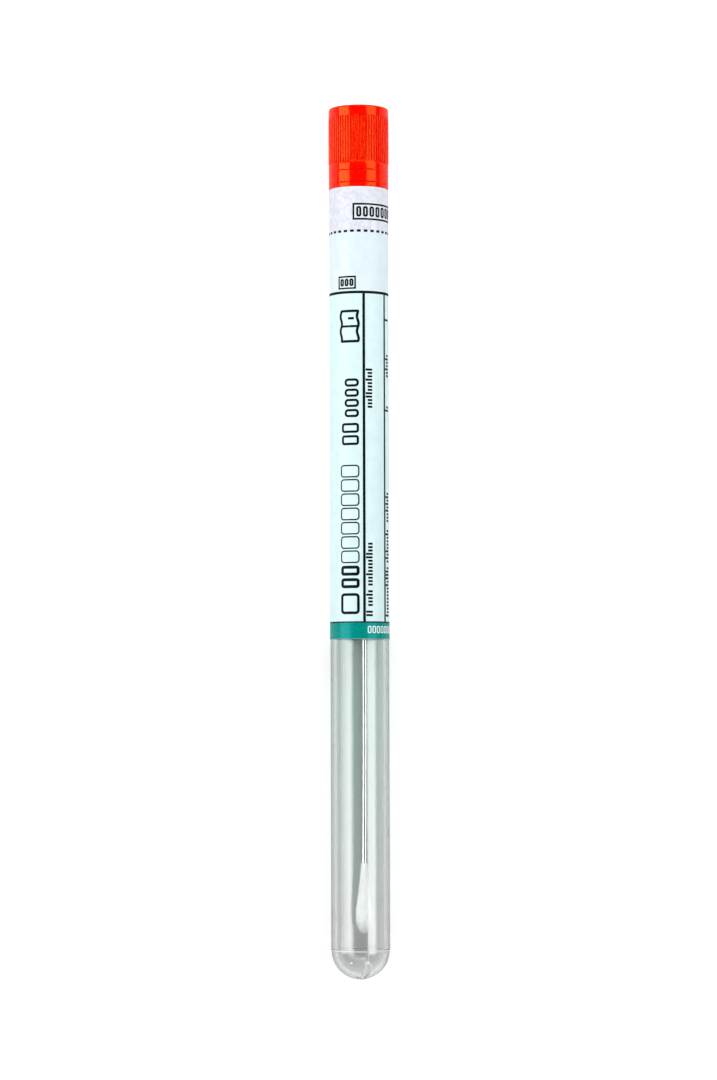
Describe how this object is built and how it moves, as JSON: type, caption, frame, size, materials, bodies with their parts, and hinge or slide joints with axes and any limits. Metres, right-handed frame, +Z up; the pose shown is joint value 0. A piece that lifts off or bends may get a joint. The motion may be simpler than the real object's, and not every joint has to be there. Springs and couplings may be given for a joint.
{
  "type": "specimen swab tube",
  "caption": "Round-bottomed clear tube with a ribbed push-in cap that carries a wire swab, sealed by a wrap-round label that tears at the joint.",
  "frame": {"origin": "on the table under the middle of the lying tube: the centre of the bounding box's bottom face", "axes": "+Y along the tube from its round end to the cap, +Z up through the front of the label, +X to the right of the label's front"},
  "size_m": [0.0122, 0.1756, 0.0122],
  "materials": {
    "clear_plastic": "clear moulded polypropylene, glossy",
    "cap_plastic": "moulded polyethylene, orange red, satin gloss",
    "shaft_metal": "drawn wire, bright",
    "bud_fibre": "wound white fibre",
    "label_film": "semi-gloss label, cool white",
    "seal_film": "semi-gloss label, pale lilac grey",
    "band_ink": "teal print",
    "dark_ink": "black print",
    "white_ink": "white print"
  },
  "bodies": {
    "tube": {"tube": "clear_plastic", "label": "label_film", "color_band": "band_ink", "label_print": "dark_ink", "band_print": "white_ink"},
    "swab": {"cap": "cap_plastic", "label_seal": "seal_film", "seal_print": "dark_ink", "shaft": "shaft_metal", "bud": "bud_fibre"}
  },
  "joints": [
    {"name": "swab_pull", "type": "slide", "parent": "tube", "child": "swab", "axis": [0, 1, 0], "range_m": [0, 0.15]}
  ]
}
